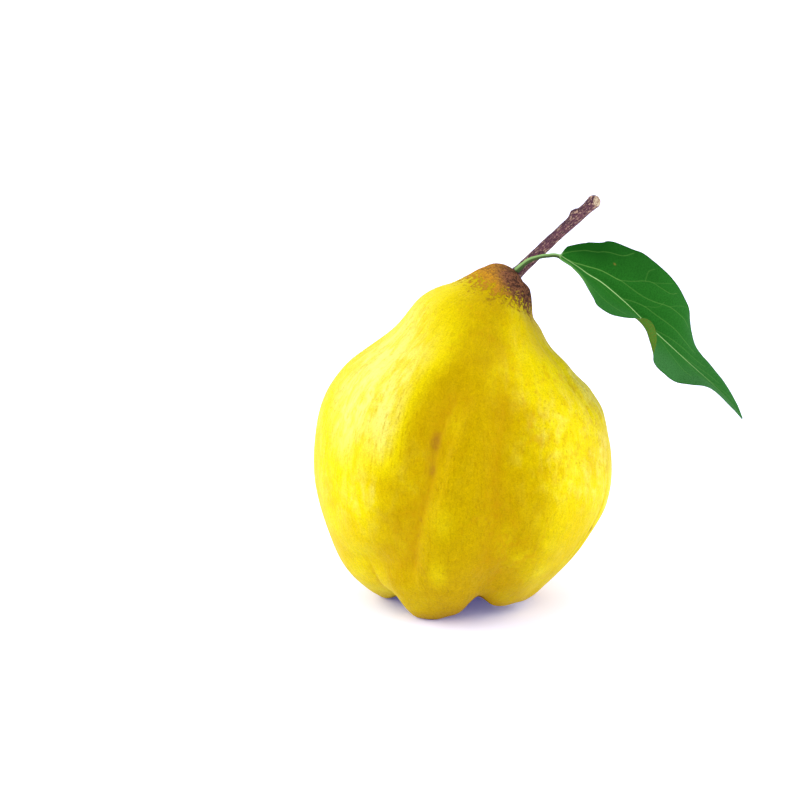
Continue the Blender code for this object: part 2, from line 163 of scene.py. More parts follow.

# Places in the skin as (longitude, latitude, reach in millimetres, strength): wide ones with many
# small specks, pale ones that are partly where it has ripened less and partly painted highlights,
# and single brown spots
FRECKLED = (
    (44, 14, 15, 1), (66, 30, 11, 0.8), (28, 30, 7, 0.7), (-30, 58, 12, 0.5),
    (-24, -22, 8, 0.5), (20, -24, 8, 0.5), (-150, 20, 18, 0.9), (118, -12, 14, 0.8),
    (-95, 12, 12, 0.5),
)
PALE_AND_HIGHLIT = (
    (74, 42, 9, 1.1), (-66, 42, 13, 1.2), (-52, 20, 9, 0.9), (-36, 36, 8, 0.75),
    (-33, 16, 6, 0.7), (-22, 51, 6, 0.3), (-5, 26, 4, 0.3), (-8, -10, 5, 0.26),
    (17, -20, 4.5, 0.28), (72.5, -14, 2.6, 0.9), (-11, -34, 3.6, 0.5), (-50, -36, 7, 0.5),
    (40, -16, 8, 0.4), (46, 14, 7, 0.6), (34, 46, 7, 0.5), (128, 30, 16, 0.9),
    (-120, 20, 18, 1),
)
BROWN_SPOTS = (
    (-12, 18, 2, 0.9), (-12.4, 8.4, 1.7, 0.7), (-17.4, -11.7, 0.6, 0.8), (-19, -18.8, 0.6, 0.7),
    (-20.4, -10, 1.6, 0.25), (-16, -33, 3, 0.35), (-37.5, 32, 1.1, 0.35),
    (12.3, 8.9, 0.9, 0.45), (19, -28, 1.5, 0.3), (-51.3, 63.3, 1.4, 0.3), (65, -22.3, 0.8, 1),
    (150, 28, 2.2, 0.5), (-118, -4, 1.8, 0.5),
)
MARK_ARC = 40.0  # millimetres of skin to a radian of latitude
MARK_STRETCH = 1.5  # a mark's length to its width
FOLD_COUNT = 11  # puckers round the calyx
FOLDS_END = -56
SKIN_VALUES = ("stain_and_hollow_shade", "brown", "freckled", "pale_and_highlit")


def blend(low, high, value):
    """0 below low, 1 above high and a smooth rise between them."""
    share = min(max((value - low) / (high - low), 0.0), 1.0)
    return share * share * (3.0 - 2.0 * share)


def turn_between(a, b):
    """The signed turn from longitude b to longitude a."""
    return (a - b + 180.0) % 360.0 - 180.0


def smooth_line(points, per_span):
    """Points along a Catmull-Rom curve through the given ones."""
    ends = [points[0] * 2 - points[1], *points, points[-1] * 2 - points[-2]]
    line = []
    for before, start, end, after in zip(ends, ends[1:], ends[2:], ends[3:]):
        for step in range(per_span):
            t = step / per_span
            bend = (2 * before - 5 * start + 4 * end - after) * t**2
            twist = (3 * start - before - 3 * end + after) * t**3
            line.append(0.5 * (2 * start + (end - before) * t + bend + twist))
    line.append(points[-1])
    return line


def broad_relief(lon, lat):
    """How far the skin stands out from the turned shape, and its furrows' depth, in millimetres."""
    valley = 0.0
    for f in FURROWS:
        along = (lat - f.foot_lat) / (f.head_lat - f.foot_lat)
        off = turn_between(lon, f.foot_lon + (f.head_lon - f.foot_lon) * along)
        width = f.west if off < 0 else f.east
        opens = blend(f.foot_lat - FURROW_FADE, f.foot_lat, lat)
        closes = blend(f.head_lat, f.head_lat + FURROW_FADE, lat)
        valley += f.depth * opens * (1.0 - closes) * exp(-((off / width) ** 2))
    height = -valley
    for s in SWELLS:
        off = turn_between(lon, s.lon) / s.lon_reach
        height += s.height * exp(-(off**2) - ((lat - s.lat) / s.lat_reach) ** 2)
    return height * blend(*BASIN_FADE, lat), valley


def crease_cut(crease, lon, lat, radius):
    """A crease's depth at a place in millimetres, sharpest along its own line."""
    line = crease.line
    low, high = line[0][1], line[-1][1]
    if not low - CREASE_END < lat < high + CREASE_END:
        return 0.0
    where = line[0][0]
    for (lon_a, lat_a), (lon_b, lat_b) in zip(line, line[1:]):
        where = lon_a + (lon_b - lon_a) * min(max((lat - lat_a) / (lat_b - lat_a), 0.0), 1.0)
        if lat <= lat_b:
            break
    off = radians(turn_between(lon, where)) * radius / MM
    reach = crease.west if off < 0 else crease.east
    if abs(off) > 4 * reach:
        return 0.0
    ends = blend(low - CREASE_END, low + CREASE_END, lat)
    ends *= 1.0 - blend(high - CREASE_END, high + CREASE_END, lat)
    return crease.depth * ends * exp(-((abs(off) / reach) ** 1.3))


def basin_folds(lon, lat, radius):
    """Puckers that run out from the calyx between the lobes, in millimetres of depth."""
    if lat > FOLDS_END:
        return 0.0
    turn = radians(lon)
    side = Vector((cos(turn), sin(turn), 0.0))
    drift = 1.6 * noise.noise((side + UP * 0.7) * 1.7)
    wave = 0.5 + 0.5 * cos(turn * FOLD_COUNT + drift * 3.0)
    length = 0.5 + 0.5 * noise.noise(side * 2.3 + UP * 5.0)
    reach = 1.0 - blend(-82 + 12 * length, -72 + 12 * length, lat)
    return wave**4 * reach * blend(3 * MM, 8 * MM, radius)


def marked(marks, lon, lat, radius):
    """How much the marks colour a place: each is a little longer than it is wide."""
    total = 0.0
    for mark_lon, mark_lat, reach, strength in marks:
        up = radians(lat - mark_lat) * MARK_ARC
        if abs(up) < 4 * reach:
            across = radians(turn_between(lon, mark_lon)) * radius / MM
            off = across**2 + (up / MARK_STRETCH) ** 2
            total += strength * exp(-off / reach**2)
    return total


def lean(point):
    """The straight fruit's point after the neck has leant over."""
    if point.z <= NECK_START:
        return point.copy()
    radius = (FRUIT_LENGTH - NECK_START) / NECK_ANGLE
    angle = (point.z - NECK_START) / radius
    spine = HEADING * radius * (1 - cos(angle)) + UP * (NECK_START + radius * sin(angle))
    hinge = Matrix.Rotation(angle, 3, UP.cross(HEADING))
    return spine + hinge @ Vector((point.x, point.y, 0.0))


tuft_low, tuft_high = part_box("stamen_tuft")  # on the fruit's axis
fruit_foot = (tuft_low + tuft_high) / 2
fruit_foot.z = tuft_high.z + GAP - BASIN_FLOOR * FRUIT_LENGTH

neck_end = lean(UP * FRUIT_LENGTH)
neck_along = UP * cos(NECK_ANGLE) + HEADING * sin(NECK_ANGLE)
twig_along = UP * cos(TWIG_LEAN) + HEADING * sin(TWIG_LEAN)
twig_arch = UP * sin(TWIG_LEAN) - HEADING * cos(TWIG_LEAN)
low_side = HEADING * cos(NECK_ANGLE) - UP * sin(NECK_ANGLE)
twig_foot = neck_end + low_side * TWIG_OFFSET
twig_turn = neck_along.rotation_difference(twig_along).to_matrix()


def follow_twig(place, radius, height):
    """Near its pole the neck's end turns with the twig that comes out of it."""
    if height < NECK_TOP:
        return place
    share = 1.0 - blend(*SOCKET_REACH, radius)
    return place.lerp(twig_foot + twig_turn @ (place - neck_end), share)


def turn_fruit():
    """The half section spun round the fruit's axis, with its socket for the twig."""
    size = Vector((FRUIT_HALF_WIDTH, 0.0, FRUIT_LENGTH))
    outside = [Vector((r, 0.0, h)) * size for r, h in HALF_SECTION]
    socket = [Vector((r, 0.0, h)) * size for r, h in SOCKET_SECTION]
    bm = bmesh.new()
    line = [bm.verts.new(p) for p in smooth_line(outside, RINGS_PER_SPAN) + socket]
    edges = [bm.edges.new(pair) for pair in zip(line, line[1:])]
    turn = {"axis": UP, "cent": (0, 0, 0), "steps": FRUIT_SIDES, "angle": tau}
    bmesh.ops.spin(bm, geom=line + edges, use_merge=True, **turn)
    bmesh.ops.remove_doubles(bm, verts=bm.verts, dist=SEAM)
    bmesh.ops.recalc_face_normals(bm, faces=bm.faces)
    bm.normal_update()
    return bm


def grow_fruit():
    """The turned shape furrowed, creased and leant over, with what its skin needs to know."""
    bm = turn_fruit()
    layers = bm.verts.layers
    grown, heading = [layers.float_vector.new(name) for name in ("grown", "heading")]
    stain_and_hollow_shade, brown, freckled, pale_and_highlit = [layers.float.new(name) for name in SKIN_VALUES]
    places = []
    for v in bm.verts:
        radius = v.co.xy.length
        lon = degrees(atan2(v.co.x, -v.co.y))
        lat = degrees(atan2(v.co.z - MIDDLE, radius))
        outside = blend(*SOCKET_RIM, radius) if v.co.z > NECK_TOP else 1.0
        height, valley = broad_relief(lon, lat)
        cut = stain = 0.0
        for crease in CREASES:
            depth = crease_cut(crease, lon, lat, radius)
            cut += depth
            stain += crease.stain * depth / crease.depth
        folds = basin_folds(lon, lat, radius)
        basin = blend(*BASIN_FADE, lat)
        height -= cut * basin + folds
        lumps = 0.16 * noise.noise(v.co * 55) + 0.1 * noise.noise(v.co * 150)
        knobs = 0.45 * noise.noise(v.co * 190 + UP) * blend(90 * MM, 99 * MM, v.co.z)
        height += (lumps + knobs) * basin * outside
        turn = radians(lon)
        round_calyx = 1 - blend(3 * MM, 9 * MM, radius) if lat < 0 else 0.0
        v[grown] = v.co
        v[heading] = Vector((sin(turn), -cos(turn), lat / 90))
        # Crease brown, partly real and partly painted shade, and painted shade in the valleys and
        # the basin's puckers, darker round the calyx
        v[stain_and_hollow_shade] = max(stain, 0.0) + 0.22 * valley * blend(-50, -30, lat)
        v[stain_and_hollow_shade] += folds * 0.8 + round_calyx * 1.2
        v[brown] = marked(BROWN_SPOTS, lon, lat, radius)
        v[freckled] = marked(FRECKLED, lon, lat, radius)
        # Pale marks, partly painted highlight, and the painted highlights along the pale creases
        v[pale_and_highlit] = marked(PALE_AND_HIGHLIT, lon, lat, radius) + max(-stain, 0.0)
        place = lean(v.co + v.normal * height * MM * outside)
        places.append(follow_twig(place, radius, v.co.z) + fruit_foot)
    for v, place in zip(bm.verts, places):
        v.co = place
        v.co.z = max(v.co.z, 0.0)
    bmesh.ops.recalc_face_normals(bm, faces=bm.faces)
    return bm


def show(name, bm, made_of):
    """A finished mesh as a smooth object at the origin."""
    mesh = bpy.data.meshes.new(name)
    bm.to_mesh(mesh)
    bm.free()
    mesh.materials.append(made_of)
    mesh.shade_smooth()
    piece = bpy.data.objects.new(name, mesh)
    bpy.context.scene.collection.objects.link(piece)
    return piece


class Look:
    """One value that runs through a material's nodes: sums on it add Math nodes."""

    def __init__(self, tree, socket=None):
        self.tree = tree
        self.socket = socket

    def node(self, kind, settings=None, sockets=None, take=0):
        """A new node's output: its settings are set first, then its sockets' values or links."""
        made = self.tree.nodes.new("ShaderNode" + kind)
        for name, value in (settings or {}).items():
            setattr(made, name, value)
        for name, value in (sockets or {}).items():
            if isinstance(value, Look):
                self.tree.links.new(value.socket, made.inputs[name])
            else:
                made.inputs[name].default_value = value
        return Look(self.tree, made.outputs[take])

    def maths(self, operation, *values):
        return self.node("Math", {"operation": operation}, dict(enumerate(values)))

    def __add__(self, other):
        return self.maths("ADD", self, other)

    def __sub__(self, other):
        return self.maths("SUBTRACT", self, other)

    def __rsub__(self, other):
        return self.maths("SUBTRACT", other, self)

    def __mul__(self, other):
        return self.maths("MULTIPLY", self, other)

    def __truediv__(self, other):
        return self.maths("DIVIDE", self, other)

    def __abs__(self):
        return self.maths("ABSOLUTE", self)

    __radd__ = __add__
    __rmul__ = __mul__

    def rise(self, low, high):
        """0 below low, 1 above high and a smooth rise between them."""
        settings = {"interpolation_type": "SMOOTHSTEP"}
        return self.node("MapRange", settings, {"Value": self, "From Min": low, "From Max": high})

    def part(self, axis):
        return self.node("SeparateXYZ", None, {0: self}, axis)

    def vector(self, operation, other, take=0):
        return self.node("VectorMath", {"operation": operation}, {0: self, 1: other}, take)

    def scaled(self, *sizes):
        """A vector with each part multiplied by its own size."""
        return self.vector("MULTIPLY", Vector(sizes))

    def shaded(self, strength):
        """A colour or vector made stronger or weaker by a value."""
        return self.node("VectorMath", {"operation": "SCALE"}, {0: self, "Scale": strength})

    def grain(self, scale, detail=2.0, roughness=0.5, distortion=0.0):
        """Noise over this vector."""
        sockets = {"Vector": self, "Scale": scale, "Detail": detail, "Roughness": roughness}
        return self.node("TexNoise", None, {**sockets, "Distortion": distortion})

    def tint(self, below, above):
        """Below where this is 0, above where it is 1."""
        made = self.tree.nodes.new("ShaderNodeMix")
        made.data_type = "RGBA"
        self.tree.links.new(self.socket, made.inputs["Factor"])
        for name, colour in (("A", below), ("B", above)):
            where = next(s for s in made.inputs if s.name == name and s.type == "RGBA")
            if isinstance(colour, Look):
                self.tree.links.new(colour.socket, where)
            else:
                where.default_value = (*colour, 1.0)
        return Look(self.tree, next(s for s in made.outputs if s.type == "RGBA"))

    def coated(self, *coats):
        """This colour with others laid over it in turn, each as (share, colour)."""
        colour = self
        for share, coat in coats:
            colour = share.tint(colour, coat)
        return colour


def new_look(name, fixed):
    """A material with its fixed shader values: the start of its looks, and its shader."""
    made = bpy.data.materials.new(name)
    made.use_nodes = True
    shader = made.node_tree.nodes["Principled BSDF"]
    for socket, value in fixed.items():
        shader.inputs[socket].default_value = value
    return made, Look(made.node_tree), shader


def attribute(look, name, take="Fac"):
    """A value or vector kept on the piece's mesh."""
    return look.node("Attribute", {"attribute_name": name}, None, take)


def finish(look, shader, colour, roughness, bumps):
    """Links the looks to the shader: bumps are (height, distance in metres), the coarsest first."""
    look.tree.links.new(colour.socket, shader.inputs["Base Color"])
    look.tree.links.new(roughness.socket, shader.inputs["Roughness"])
    normal = None
    for height, distance in bumps:
        sockets = {"Height": height, "Distance": distance}
        if normal:
            sockets["Normal"] = normal
        normal = look.node("Bump", None, sockets)
    look.tree.links.new(normal.socket, shader.inputs["Normal"])


LEMON = (0.68, 0.565, 0.001)
GOLD = (0.63, 0.46, 0.001)
DEEP_GOLD = (0.5, 0.3, 0.001)
# Painted shade: the golds laid on the front and the back
SHADED_GOLD = (0.435, 0.285, 0.0)
SHADED_DARK_GOLD = (0.36, 0.215, 0.0)
PALE = (0.78, 0.7, 0.155)
AMBER = (0.46, 0.24, 0.002)
CORK = (0.3, 0.13, 0.01)
SPECK = (0.34, 0.17, 0.006)
RUSSET = (0.56, 0.26, 0.014)
UMBER = (0.215, 0.085, 0.04)
DARK_UMBER = (0.05, 0.022, 0.016)
CAP_DARKEST = twig_foot + fruit_foot + Vector((0.0, -6.5, -5.0)) * MM  # the cap's darkest place
NECK_HEIGHTS = (58, 84)  # the skin's own heights are millimetres up the straight fruit
CAP_EDGE = (96.0, 98.0)
CAP_TOP = (98.5, 103.0)
SPECK_SCALE = 760


def make_skin():
    """Waxy yellow skin: golden blotches, lengthwise streaks, small cork specks and a russet cap,
    with painted shade on the front, the back and the bottom and painted highlights on the upper
    sides.
    """
    wax = {"Specular IOR Level": 0.04, "Specular Tint": (1.0, 0.85, 0.1, 1.0)}
    skin, look, shader = new_look("quince_skin", wax)
    place = look.node("TexCoord", None, None, "Object")
    grown = attribute(look, "grown", "Vector")
    heading = attribute(look, "heading", "Vector")
    stain_and_hollow_shade, brown, freckled, pale_and_highlit = [attribute(look, name) for name in SKIN_VALUES]
    height = grown.part("Z") / MM

    blotches = grown.grain(60, 4, 0.6)
    clouds = grown.grain(170, 3, 0.6)
    drifts = heading.scaled(11, 11, 9).grain(1, 4, 0.65, 0.4)
    streaks = heading.scaled(24, 24, 11).grain(1, 4, 0.7, 0.6)
    dashes = heading.scaled(52, 52, 28).grain(1, 2, 0.6)
    mottle = place.grain(420, 3, 0.65)
    pores = place.grain(700, 2)
    grain = place.grain(1500, 2, 0.7)
    dust = place.grain(3000, 1)

    # Lemon on the sides; the gold on the front and the back is painted shade, deepest low down, and
    # the pale patches high on the sides are partly unripe skin and partly painted highlight
    neck = height.rise(*NECK_HEIGHTS)
    front = abs(heading.part("Y") + heading.part("X") * neck * 0.35)
    front_back_shade = (front + (blotches - 0.5) * 0.35 - neck * 0.06).rise(0.7, 0.98)
    streak_colour = front_back_shade.tint(GOLD, SHADED_DARK_GOLD)
    pale = drifts.rise(0.42, 0.72) * (0.3 + mottle) * (0.15 + height.rise(28, 50) * 0.5)
    colour = blotches.rise(0.35, 0.65).tint(LEMON, GOLD).coated(
        (pale * (1 - neck * 0.8) * (1 - front_back_shade * 0.8), PALE),
        (front_back_shade * 0.88, SHADED_GOLD),
        (clouds.rise(0.44, 0.66) * (0.05 + front_back_shade * 0.24), SHADED_DARK_GOLD),
        # Pale and lemon marks: partly less ripe skin, partly painted highlight
        (pale_and_highlit.rise(0.05, 0.6) * 0.8, LEMON),
        (pale_and_highlit.rise(0.45, 1.4) * (0.3 + drifts.rise(0.36, 0.6) * 0.7), PALE),
        # Painted shade: deeper gold low on the front and back, and amber along the bottom rim
        ((1 - height.rise(4, 34)) * front_back_shade * 0.55, DEEP_GOLD),
        ((1 - height.rise(0.5, 8)) * 0.4, AMBER),
        (dashes.rise(0.52, 0.7) * (0.5 - neck * 0.3), streak_colour),
        (streaks.rise(0.52, 0.72) * (0.24 - neck * 0.12), streak_colour),
    )
    colour = colour.shaded(0.48 + grain * 0.42 + mottle * 0.26 + dust * 0.36)

    # Cork specks and amber smudges in patches, and amber in the creases, partly real brown and
    # partly painted shade, with painted shade in the valleys and the basin's puckers
    drift = look.node("TexNoise", None, {"Vector": place, "Scale": 500}, "Color")
    worn = {"Vector": place.vector("ADD", drift.shaded(1.2 * MM)), "Scale": SPECK_SCALE}
    cells = look.node("TexVoronoi", None, worn, "Distance")
    lot = look.node("TexVoronoi", None, worn, "Color").part("X")
    patches = (grown.grain(38, 3) - 0.1 + freckled * 0.26).rise(0.42, 0.62)
    specks = (1 - cells.rise(0.06, 0.44)) * lot.rise(0.35, 0.9) * patches
    smudges = mottle.rise(0.45, 0.62) * grown.grain(160, 3).rise(0.42, 0.62)
    colour = colour.coated(
        (specks * 0.42, SPECK),
        (patches * smudges * 0.45, AMBER),
        ((stain_and_hollow_shade * (0.35 + pores)).rise(0.1, 1.3) * 0.85, AMBER),
        ((brown * (0.3 + grain * 1.4)).rise(0.2, 0.95) * 0.7, CORK),
    )

    # The russet cap runs down in ragged tongues, and is darkest at a place in front of the twig's
    # foot and at its top
    tongues = heading.scaled(9, 9, 1.4).grain(1, 3)
    crumbs = place.grain(620, 4, 0.8)
    reach = height + (tongues - 0.5) * 10 + (crumbs - 0.5) * 17 + (grain - 0.5) * 14
    capped = reach.rise(*CAP_EDGE)
    from_cap_darkest = place.vector("DISTANCE", CAP_DARKEST, "Value")
    deep = (1 - (from_cap_darkest / MM + (crumbs - 0.5) * 14).rise(4.5, 10.5)) * 0.8
    deep = deep + (height + (crumbs - 0.5) * 12).rise(*CAP_TOP) * 0.5
    cap_colour = deep.rise(0, 1).tint(RUSSET, UMBER)
    dark_crumbs = (crumbs + grain - 0.5).rise(0.44, 0.6) * (0.25 + deep * 0.6)
    colour = capped.tint(colour, dark_crumbs.tint(cap_colour, DARK_UMBER))

    roughness = 0.46 + blotches * 0.08 + capped * 0.4 + specks * 0.2
    finish(look, shader, colour, roughness, [
        (drifts + streaks * 0.7, 0.3 * MM),
        (dashes + pores * 0.7 + mottle * 0.6, 0.2 * MM),
        (grain * (1 + capped * 4), 0.09 * MM),
    ])
    return skin


fruit = show("quince_fruit", grow_fruit(), make_skin())
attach(fruit, "root")
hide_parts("fruit")

# ---- The twig ----
# A straight piece of last year's shoot, wood in thin purple-brown bark, grown out of the fruit's
# socket. A bud has left a scar on its upper side, and it is cut aslant through a swollen joint.

TWIG_LENGTH = 33.6 * MM  # outside the fruit
TWIG_DEPTH = 3.8 * MM  # inside its socket
TWIG_RADIUS = 1.78 * MM
TWIG_BOW = 0.2 * MM
TWIG_SIDES = 48
TWIG_RINGS = 236
KNOB_RINGS = 18  # of them over the round end
BUD_SCAR = 0.735  # share of the length
BUD_SCAR_HEIGHT = 0.85 * MM
BUD_SCAR_REACH = 0.04
LIP_OFFSET = 0.038  # from the scar to the lip beyond it
LIP_REACH = 0.012
LIP_HEIGHT = 0.22 * MM
CUT_DEPTH = 0.7  # share of the knob's radius from its middle to the cut
PITH_RADIUS = 0.35 * MM

# Along the twig from the fruit: share of its length, share of its radius
GIRTHS = (
    (0, 1.1), (0.03, 1.04), (0.08, 1), (0.2, 0.96), (0.5, 0.94), (0.66, 0.98), (0.74, 1.03),
    (0.8, 1.02), (0.86, 0.98), (0.9, 1.06), (0.94, 1.19), (1, 1.19),
)


def wrap(sides, rings, shape):
    """A grid rolled up into a closed skin.

    Shape takes the shares along and around, and gives a point's place and what its finish needs to
    know there. The first and the last ring draw in to one point.
    """
    bm = bmesh.new()
    layers = {}
    for name, value in shape(0.0, 0.0)[1].items():
        kind = bm.verts.layers.float_vector if isinstance(value, Vector) else bm.verts.layers.float
        kind.new(name)
        layers[name] = kind
    bmesh.ops.create_grid(bm, x_segments=sides, y_segments=rings, size=0.5)
    for v in bm.verts:
        v.co, known = shape(v.co.y + 0.5, v.co.x + 0.5)
        for name, value in known.items():
            v[layers[name][name]] = value
    bmesh.ops.remove_doubles(bm, verts=bm.verts, dist=SEAM)
    bmesh.ops.recalc_face_normals(bm, faces=bm.faces)
    return bm


def step_through(rows, share):
    """A smooth value between rows of (share, value)."""
    for (start, low), (end, high) in zip(rows, rows[1:]):
        if share <= end:
            return low + (high - low) * blend(start, end, share)
    return rows[-1][1]


twig_root = twig_foot + fruit_foot
twig_side = twig_along.cross(twig_arch)
knob_radius = TWIG_RADIUS * GIRTHS[-1][1]
knob_middle = twig_root + twig_along * (TWIG_LENGTH - knob_radius)
cut_facing = Vector((0.62, -0.74, 0.2)).normalized()


def twig_point(along, around):
    """The bark with its ridges and bud scar, and the knob's round end with its slanting cut."""
    ring = round(along * TWIG_RINGS)
    body = TWIG_RINGS - KNOB_RINGS
    run = min(max(ring - 1, 0) / (body - 1), 1.0)
    reach = (TWIG_LENGTH - knob_radius + TWIG_DEPTH) * run - TWIG_DEPTH
    dome = radians(90) * max(ring - body, 0) / KNOB_RINGS
    share = max(reach / TWIG_LENGTH, 0.0)
    turn = tau * around
    out = twig_arch * cos(turn) + twig_side * sin(turn)
    straight = Vector((cos(turn), sin(turn), 0.0)) * TWIG_RADIUS + UP * reach
    scar = exp(-(((share - BUD_SCAR) / BUD_SCAR_REACH) ** 2))
    lip = exp(-(((share - BUD_SCAR - LIP_OFFSET) / LIP_REACH) ** 2))
    upper = max(cos(turn), 0.0)
    ridges = noise.noise(Vector((straight.x * 2200, straight.y * 2200, reach * 260)))
    knobs = noise.noise(straight * 420)
    radius = TWIG_RADIUS * step_through(GIRTHS, share) + (0.055 * ridges + 0.1 * knobs) * MM
    radius += (BUD_SCAR_HEIGHT * scar + LIP_HEIGHT * lip) * upper**2
    radius *= 0.0 if ring == 0 else cos(dome)
    place = twig_root + twig_along * (reach + knob_radius * sin(dome))
    place += twig_arch * TWIG_BOW * sin(pi * share) + out * radius
    beyond = (place - knob_middle).dot(cut_facing) - CUT_DEPTH * knob_radius
    cut = blend(-0.12 * MM, 0.02 * MM, beyond) if share > 0.85 else 0.0
    if cut and beyond > 0:
        place -= cut_facing * beyond
    off_pith = (place - knob_middle).cross(cut_facing).length
    known = {
        "straight": straight + UP * knob_radius * sin(dome),
        "cut": cut,
        "pith": 1.0 - blend(0.5, 1.2, off_pith / PITH_RADIUS),
        "upper": cos(turn),
        "scar": max(scar * upper**2 * 0.3, blend(0.84, 0.93, share) * 0.75),
    }
    return place, known


PLUM_BARK = (0.15, 0.058, 0.07)
DARK_BARK = (0.022, 0.008, 0.018)
TAN_BARK = (0.56, 0.36, 0.23)
CUT_WOOD = (0.44, 0.33, 0.19)
PALE_WOOD = (0.6, 0.5, 0.32)
PITH = (0.2, 0.11, 0.075)


def make_bark():
    """Purple-brown bark with tan dashes along it, darker on its upper side and tanner below as
    painted shade, and pale wood with a pith at the cut.
    """
    bark, look, shader = new_look("quince_bark", {"Specular IOR Level": 0.15})
    straight = attribute(look, "straight", "Vector")
    upper, scar, cut = [attribute(look, name) for name in ("upper", "scar", "cut")]

    dashes = straight.scaled(1, 1, 0.35).grain(2300, 3, 0.7)
    flecks = straight.scaled(1, 1, 0.45).grain(3300, 2, 0.7)
    bands = straight.grain(420, 2)
    # More tan dashes on the lower side: painted light
    pale = dashes.rise(0.52, 0.62) * (0.6 + scar * 0.4 + 0.3 * (1 - upper.rise(-0.6, 0.3)))
    crumbs = look.node("TexCoord", None, None, "Object").grain(1700, 3, 0.8)
    wood = crumbs.rise(0.4, 0.52).tint(PALE_WOOD, CUT_WOOD)
    wood = (crumbs.rise(0.51, 0.58) * 0.9 + attribute(look, "pith") * 0.4).tint(wood, PITH)
    colour = (bands.rise(0.4, 0.62) * 0.35).tint(PLUM_BARK, DARK_BARK).coated(
        # Darker bark on the upper side: painted shade
        (upper.rise(0.35, 1) * 0.65, DARK_BARK),
        (pale, TAN_BARK),
        (flecks.rise(0.5, 0.62) * 0.85, DARK_BARK),
        ((cut * (0.2 + crumbs * 1.4)).rise(0.4, 0.9), wood),
    )
    finish(look, shader, colour, 0.62 + dashes * 0.2, [
        (dashes + bands, 0.12 * MM),
        (flecks, 0.05 * MM),
    ])
    return bark


twig = show("cut_twig", wrap(TWIG_SIDES, TWIG_RINGS, twig_point), make_bark())
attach(twig, "root")
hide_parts("stem")

# ---- The leaf ----
# One thin dark green leaf on a stalk that rises from the twig's foot and runs on as the midrib. Its
# veins lie in the upper face and stand out below, the blade is slightly puffed up between them, and
# its near margin curls up once, so that the paler underside shows.

LEAF_HALF_WIDTH = 18.6  # all the leaf's own sizes are millimetres, made metres at the end
LEAF_THICKNESS = 0.42
LEAF_CAMBER = 0.05
LEAF_SWAY = 0.08
RIB_DEPTH = 0.55
LEAF_SIDES = 224
LEAF_RINGS = 300
STALK_RINGS = 44
JOINT = 0.012  # share of the blade over which the stalk spreads into it

# The line of the stalk and the midrib from the twig's foot
LEAF_LINE = (
    (-0.6, -2.5, 0.9), (2.9, -3.1, 4), (5.8, -3.4, 5.2), (8.8, -3.8, 5.8), (12.1, -4.1, 5.7),
    (16.9, -4.6, 2.8), (20.6, -4.8, 0.2), (24.4, -4.9, -2.1), (28.1, -5.2, -5),
    (31.9, -5.4, -8.3), (35.7, -5.7, -12), (39.4, -5.9, -15.6), (45.1, -6.3, -20.8),
    (49.7, -6.6, -24.9), (53.5, -6.9, -28.3), (57.6, -7.1, -31.9), (63.8, -7.5, -38),
    (67.6, -7.7, -43.1),
)
LEAF_STEPS = 24  # from one of its points to the next
STALK_END = 4  # the point where the blade begins
STALK_GIRTHS = ((0.0, 0.95), (0.3, 0.74), (0.6, 0.62), (1.0, 0.64))

# Share of the blade's length, share of its half width, and the degrees by which its far half climbs
# and its near half dips
LEAF_ROWS = (
    (0, 0.05, 60, 12), (0.004, 0.16, 56, 12), (0.012, 0.24, 48, 4), (0.03, 0.36, 45, 1),
    (0.06, 0.51, 45, 0), (0.12, 0.72, 45.5, 4.5), (0.17, 0.85, 45, 11.5),
    (0.22, 0.945, 46, 14.5), (0.27, 1.02, 47.5, 12), (0.32, 1.03, 49, 6), (0.37, 1.03, 50, 0.5),
    (0.42, 1.02, 50, 1.5), (0.47, 1, 49, 8), (0.52, 0.96, 46, 16), (0.56, 0.92, 42, 20),
    (0.6, 0.85, 34, 22.5), (0.64, 0.76, 27, 26), (0.68, 0.66, 22, 27), (0.72, 0.56, 22.5, 20.5),
    (0.76, 0.46, 25.5, 11), (0.8, 0.38, 27, 6), (0.84, 0.32, 29, 5.5), (0.88, 0.25, 30, 8),
    (0.92, 0.17, 31, 12), (0.96, 0.1, 32, 12), (1, 0.02, 32, 12),
)
CURL_PLACE = 0.438  # where along the blade its near margin curls up
CURL_REACH = 0.068
CURL_START = 0.75  # share of the near half's width
CURL_ANGLE = radians(38)

# Veins: strength, and a line of (share of the half width, positive on the far side, and share of
# the length)
SIDE_VEINS = (
    (1, ((0, 0.025), (0.06, 0.065), (0.14, 0.105), (0.2, 0.16), (0.22, 0.23), (0.24, 0.26))),
    (0.45, ((0.24, 0.26), (0.26, 0.34), (0.35, 0.41), (0.52, 0.48), (0.62, 0.54), (0.76, 0.6))),
    (0.4, ((0, 0.3), (0.1, 0.345), (0.18, 0.395), (0.22, 0.455), (0.29, 0.53), (0.38, 0.61),
     (0.52, 0.68))),
    (0.35, ((0.03, 0.004), (0.28, 0.012), (0.5, 0.045), (0.6, 0.09), (0.65, 0.17),
     (0.72, 0.215), (0.9, 0.24))),
    (0.2, ((0.6, 0.36), (0.78, 0.405), (0.92, 0.43))),
    (0.2, ((0.52, 0.335), (0.7, 0.325), (0.84, 0.335))),
    (0.3, ((0, 0.47), (0.1, 0.55), (0.24, 0.65), (0.44, 0.75))),
    (0.25, ((0, 0.63), (0.14, 0.72), (0.38, 0.83))),
    (0.2, ((0, 0.77), (0.2, 0.86), (0.42, 0.92))),
    (0.55, ((-0.2, 0.03), (-0.55, 0.08), (-0.62, 0.14), (-0.57, 0.21), (-0.62, 0.275),
     (-0.76, 0.33))),
    (0.3, ((0, 0.12), (-0.16, 0.22), (-0.3, 0.33), (-0.44, 0.44))),
    (0.3, ((0, 0.5), (-0.2, 0.57), (-0.32, 0.63), (-0.5, 0.71))),
    (0.2, ((0, 0.64), (-0.22, 0.74), (-0.46, 0.83))),
)
